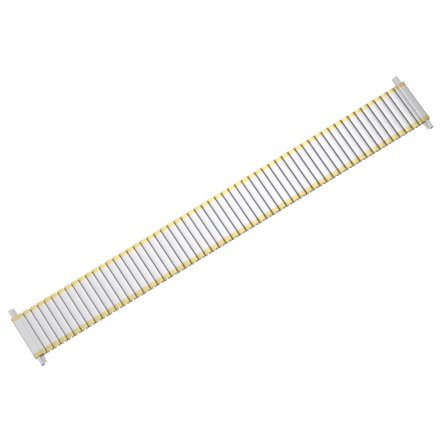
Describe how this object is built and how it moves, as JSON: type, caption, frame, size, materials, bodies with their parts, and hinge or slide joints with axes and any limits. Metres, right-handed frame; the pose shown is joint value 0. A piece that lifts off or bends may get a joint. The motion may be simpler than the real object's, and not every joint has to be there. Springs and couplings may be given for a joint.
{
  "type": "expansion watch band",
  "caption": "Stretchy metal watch band of narrow two-tone links on hidden spring bows, with telescoping ends for spring bars.",
  "frame": {"origin": "middle of the underside of the band laid flat", "axes": "+X along the band, +Y across it, +Z out of the face seen when worn"},
  "size_m": [0.1546, 0.022, 0.0025],
  "materials": {
    "two_tone_shell": "satin steel with pale gold plating on both ends",
    "link_steel": "satin steel with pale gold plating on both ends of the shells",
    "sleeve_steel": "plain rolled sheet",
    "spring_steel": "plain",
    "bow_steel": "tumbled",
    "insert_steel": "smooth rolled sheet"
  },
  "bodies": {
    "middle": {"link_28_shell": "two_tone_shell", "link_28_top_sleeve": "sleeve_steel", "link_28_bottom_sleeves": "sleeve_steel", "link_28_leaf_springs": "spring_steel", "link_28_bows": "bow_steel", "bows_28_29": "bow_steel", "bows_27_28": "bow_steel"},
    "group_29_30": {"links_29_30": "link_steel"},
    "group_31_32": {"links_31_32": "link_steel", "bows_32_33": "bow_steel"},
    "group_33_34": {"links_33_34": "link_steel"},
    "group_35_36": {"links_35_36": "link_steel", "bows_36_37": "bow_steel"},
    "group_37_38": {"links_37_38": "link_steel"},
    "group_39_40": {"links_39_40": "link_steel", "bows_40_41": "bow_steel"},
    "group_41_42": {"links_41_42": "link_steel"},
    "group_43_44": {"links_43_44": "link_steel", "bows_44_45": "bow_steel"},
    "group_45_46": {"links_45_46": "link_steel"},
    "group_47_48": {"links_47_48": "link_steel", "bows_48_49": "bow_steel"},
    "group_49_50": {"links_49_50": "link_steel"},
    "group_51_52": {"links_51_52": "link_steel", "bows_52_53": "bow_steel"},
    "group_53_54": {"links_53_54": "link_steel"},
    "group_55": {"link_55": "link_steel", "bows_right_end": "bow_steel"},
    "right_end": {"end_shell_right": "two_tone_shell", "end_housing_right": "sleeve_steel", "insert_spring_right": "spring_steel"},
    "insert_right_front": {"insert_right_front": "insert_steel"},
    "insert_right_back": {"insert_right_back": "insert_steel"},
    "group_26_27": {"links_26_27": "link_steel"},
    "group_24_25": {"links_24_25": "link_steel", "bows_23_24": "bow_steel"},
    "group_22_23": {"links_22_23": "link_steel"},
    "group_20_21": {"links_20_21": "link_steel", "bows_19_20": "bow_steel"},
    "group_18_19": {"links_18_19": "link_steel"},
    "group_16_17": {"links_16_17": "link_steel", "bows_15_16": "bow_steel"},
    "group_14_15": {"links_14_15": "link_steel"},
    "group_12_13": {"links_12_13": "link_steel", "bows_11_12": "bow_steel"},
    "group_10_11": {"links_10_11": "link_steel"},
    "group_8_9": {"links_8_9": "link_steel", "bows_7_8": "bow_steel"},
    "group_6_7": {"links_6_7": "link_steel"},
    "group_4_5": {"links_4_5": "link_steel", "bows_3_4": "bow_steel"},
    "group_2_3": {"links_2_3": "link_steel"},
    "group_1": {"link_1": "link_steel", "bows_left_end": "bow_steel"},
    "left_end": {"end_shell_left": "two_tone_shell", "end_housing_left": "sleeve_steel", "insert_spring_left": "spring_steel"},
    "insert_left_front": {"insert_left_front": "insert_steel"},
    "insert_left_back": {"insert_left_back": "insert_steel"}
  },
  "joints": [
    {"name": "stretch", "type": "slide", "parent": "middle", "child": "group_29_30", "axis": [1, 0, 0], "range_m": [0, 0.0045], "stiffness_N_per_m": 400, "deforming": ["bows_28_29"]},
    {"name": "curl", "type": "hinge", "parent": "group_29_30", "child": "group_31_32", "pos_m": [0.00756, 0, 0.00055], "axis": [0, 1, 0], "range_deg": [0, 20], "stiffness_Nm_per_rad": 0.0015},
    {"name": "stretch_32_33", "type": "slide", "parent": "group_31_32", "child": "group_33_34", "axis": [1, 0, 0], "range_m": [0, 0.006], "stiffness_N_per_m": 400, "deforming": ["bows_32_33"]},
    {"name": "curl_34_35", "type": "hinge", "parent": "group_33_34", "child": "group_35_36", "pos_m": [0.01816, 0, 0.00055], "axis": [0, 1, 0], "range_deg": [0, 20], "stiffness_Nm_per_rad": 0.0015},
    {"name": "stretch_36_37", "type": "slide", "parent": "group_35_36", "child": "group_37_38", "axis": [1, 0, 0], "range_m": [0, 0.006], "stiffness_N_per_m": 400, "deforming": ["bows_36_37"]},
    {"name": "curl_38_39", "type": "hinge", "parent": "group_37_38", "child": "group_39_40", "pos_m": [0.02875, 0, 0.00055], "axis": [0, 1, 0], "range_deg": [0, 20], "stiffness_Nm_per_rad": 0.0015},
    {"name": "stretch_40_41", "type": "slide", "parent": "group_39_40", "child": "group_41_42", "axis": [1, 0, 0], "range_m": [0, 0.006], "stiffness_N_per_m": 400, "deforming": ["bows_40_41"]},
    {"name": "curl_42_43", "type": "hinge", "parent": "group_41_42", "child": "group_43_44", "pos_m": [0.03936, 0, 0.00055], "axis": [0, 1, 0], "range_deg": [0, 20], "stiffness_Nm_per_rad": 0.0015},
    {"name": "stretch_44_45", "type": "slide", "parent": "group_43_44", "child": "group_45_46", "axis": [1, 0, 0], "range_m": [0, 0.006], "stiffness_N_per_m": 400, "deforming": ["bows_44_45"]},
    {"name": "curl_46_47", "type": "hinge", "parent": "group_45_46", "child": "group_47_48", "pos_m": [0.04995, 0, 0.00055], "axis": [0, 1, 0], "range_deg": [0, 20], "stiffness_Nm_per_rad": 0.0015},
    {"name": "stretch_48_49", "type": "slide", "parent": "group_47_48", "child": "group_49_50", "axis": [1, 0, 0], "range_m": [0, 0.006], "stiffness_N_per_m": 400, "deforming": ["bows_48_49"]},
    {"name": "curl_50_51", "type": "hinge", "parent": "group_49_50", "child": "group_51_52", "pos_m": [0.06055, 0, 0.00055], "axis": [0, 1, 0], "range_deg": [0, 20], "stiffness_Nm_per_rad": 0.0015},
    {"name": "stretch_52_53", "type": "slide", "parent": "group_51_52", "child": "group_53_54", "axis": [1, 0, 0], "range_m": [0, 0.006], "stiffness_N_per_m": 400, "deforming": ["bows_52_53"]},
    {"name": "curl_54_55", "type": "hinge", "parent": "group_53_54", "child": "group_55", "pos_m": [0.07115, 0, 0.00055], "axis": [0, 1, 0], "range_deg": [0, 20], "stiffness_Nm_per_rad": 0.0015},
    {"name": "stretch_right_end", "type": "slide", "parent": "group_55", "child": "right_end", "axis": [1, 0, 0], "range_m": [0, 0.0015], "stiffness_N_per_m": 400, "deforming": ["bows_right_end"]},
    {"name": "insert_right_front_slide", "type": "slide", "parent": "right_end", "child": "insert_right_front", "axis": [0, 1, 0], "range_m": [0, 0.003], "stiffness_N_per_m": 150, "springref_m": -0.002, "deforming": ["insert_spring_right"]},
    {"name": "insert_right_back_slide", "type": "slide", "parent": "right_end", "child": "insert_right_back", "axis": [0, -1, 0], "range_m": [0, 0.003], "stiffness_N_per_m": 150, "springref_m": -0.002},
    {"name": "stretch_27_28", "type": "slide", "parent": "middle", "child": "group_26_27", "axis": [-1, 0, 0], "range_m": [0, 0.0045], "stiffness_N_per_m": 400, "deforming": ["bows_27_28"]},
    {"name": "curl_25_26", "type": "hinge", "parent": "group_26_27", "child": "group_24_25", "pos_m": [-0.00756, 0, 0.00055], "axis": [0, -1, 0], "range_deg": [0, 20], "stiffness_Nm_per_rad": 0.0015},
    {"name": "stretch_23_24", "type": "slide", "parent": "group_24_25", "child": "group_22_23", "axis": [-1, 0, 0], "range_m": [0, 0.006], "stiffness_N_per_m": 400, "deforming": ["bows_23_24"]},
    {"name": "curl_21_22", "type": "hinge", "parent": "group_22_23", "child": "group_20_21", "pos_m": [-0.01816, 0, 0.00055], "axis": [0, -1, 0], "range_deg": [0, 20], "stiffness_Nm_per_rad": 0.0015},
    {"name": "stretch_19_20", "type": "slide", "parent": "group_20_21", "child": "group_18_19", "axis": [-1, 0, 0], "range_m": [0, 0.006], "stiffness_N_per_m": 400, "deforming": ["bows_19_20"]},
    {"name": "curl_17_18", "type": "hinge", "parent": "group_18_19", "child": "group_16_17", "pos_m": [-0.02875, 0, 0.00055], "axis": [0, -1, 0], "range_deg": [0, 20], "stiffness_Nm_per_rad": 0.0015},
    {"name": "stretch_15_16", "type": "slide", "parent": "group_16_17", "child": "group_14_15", "axis": [-1, 0, 0], "range_m": [0, 0.006], "stiffness_N_per_m": 400, "deforming": ["bows_15_16"]},
    {"name": "curl_13_14", "type": "hinge", "parent": "group_14_15", "child": "group_12_13", "pos_m": [-0.03936, 0, 0.00055], "axis": [0, -1, 0], "range_deg": [0, 20], "stiffness_Nm_per_rad": 0.0015},
    {"name": "stretch_11_12", "type": "slide", "parent": "group_12_13", "child": "group_10_11", "axis": [-1, 0, 0], "range_m": [0, 0.006], "stiffness_N_per_m": 400, "deforming": ["bows_11_12"]},
    {"name": "curl_9_10", "type": "hinge", "parent": "group_10_11", "child": "group_8_9", "pos_m": [-0.04995, 0, 0.00055], "axis": [0, -1, 0], "range_deg": [0, 20], "stiffness_Nm_per_rad": 0.0015},
    {"name": "stretch_7_8", "type": "slide", "parent": "group_8_9", "child": "group_6_7", "axis": [-1, 0, 0], "range_m": [0, 0.006], "stiffness_N_per_m": 400, "deforming": ["bows_7_8"]},
    {"name": "curl_5_6", "type": "hinge", "parent": "group_6_7", "child": "group_4_5", "pos_m": [-0.06055, 0, 0.00055], "axis": [0, -1, 0], "range_deg": [0, 20], "stiffness_Nm_per_rad": 0.0015},
    {"name": "stretch_3_4", "type": "slide", "parent": "group_4_5", "child": "group_2_3", "axis": [-1, 0, 0], "range_m": [0, 0.006], "stiffness_N_per_m": 400, "deforming": ["bows_3_4"]},
    {"name": "curl_1_2", "type": "hinge", "parent": "group_2_3", "child": "group_1", "pos_m": [-0.07115, 0, 0.00055], "axis": [0, -1, 0], "range_deg": [0, 20], "stiffness_Nm_per_rad": 0.0015},
    {"name": "stretch_left_end", "type": "slide", "parent": "group_1", "child": "left_end", "axis": [-1, 0, 0], "range_m": [0, 0.0015], "stiffness_N_per_m": 400, "deforming": ["bows_left_end"]},
    {"name": "insert_left_front_slide", "type": "slide", "parent": "left_end", "child": "insert_left_front", "axis": [0, 1, 0], "range_m": [0, 0.003], "stiffness_N_per_m": 150, "springref_m": -0.002, "deforming": ["insert_spring_left"]},
    {"name": "insert_left_back_slide", "type": "slide", "parent": "left_end", "child": "insert_left_back", "axis": [0, -1, 0], "range_m": [0, 0.003], "stiffness_N_per_m": 150, "springref_m": -0.002}
  ],
  "couplings": [
    {"joint": "stretch_32_33", "follows": "stretch", "ratio": 1.3333},
    {"joint": "curl_34_35", "follows": "curl", "ratio": 1},
    {"joint": "stretch_36_37", "follows": "stretch", "ratio": 1.3333},
    {"joint": "curl_38_39", "follows": "curl", "ratio": 1},
    {"joint": "stretch_40_41", "follows": "stretch", "ratio": 1.3333},
    {"joint": "curl_42_43", "follows": "curl", "ratio": 1},
    {"joint": "stretch_44_45", "follows": "stretch", "ratio": 1.3333},
    {"joint": "curl_46_47", "follows": "curl", "ratio": 1},
    {"joint": "stretch_48_49", "follows": "stretch", "ratio": 1.3333},
    {"joint": "curl_50_51", "follows": "curl", "ratio": 1},
    {"joint": "stretch_52_53", "follows": "stretch", "ratio": 1.3333},
    {"joint": "curl_54_55", "follows": "curl", "ratio": 1},
    {"joint": "stretch_right_end", "follows": "stretch", "ratio": 0.33333},
    {"joint": "stretch_27_28", "follows": "stretch", "ratio": 1},
    {"joint": "curl_25_26", "follows": "curl", "ratio": 1},
    {"joint": "stretch_23_24", "follows": "stretch", "ratio": 1.3333},
    {"joint": "curl_21_22", "follows": "curl", "ratio": 1},
    {"joint": "stretch_19_20", "follows": "stretch", "ratio": 1.3333},
    {"joint": "curl_17_18", "follows": "curl", "ratio": 1},
    {"joint": "stretch_15_16", "follows": "stretch", "ratio": 1.3333},
    {"joint": "curl_13_14", "follows": "curl", "ratio": 1},
    {"joint": "stretch_11_12", "follows": "stretch", "ratio": 1.3333},
    {"joint": "curl_9_10", "follows": "curl", "ratio": 1},
    {"joint": "stretch_7_8", "follows": "stretch", "ratio": 1.3333},
    {"joint": "curl_5_6", "follows": "curl", "ratio": 1},
    {"joint": "stretch_3_4", "follows": "stretch", "ratio": 1.3333},
    {"joint": "curl_1_2", "follows": "curl", "ratio": 1},
    {"joint": "stretch_left_end", "follows": "stretch", "ratio": 0.33333}
  ]
}
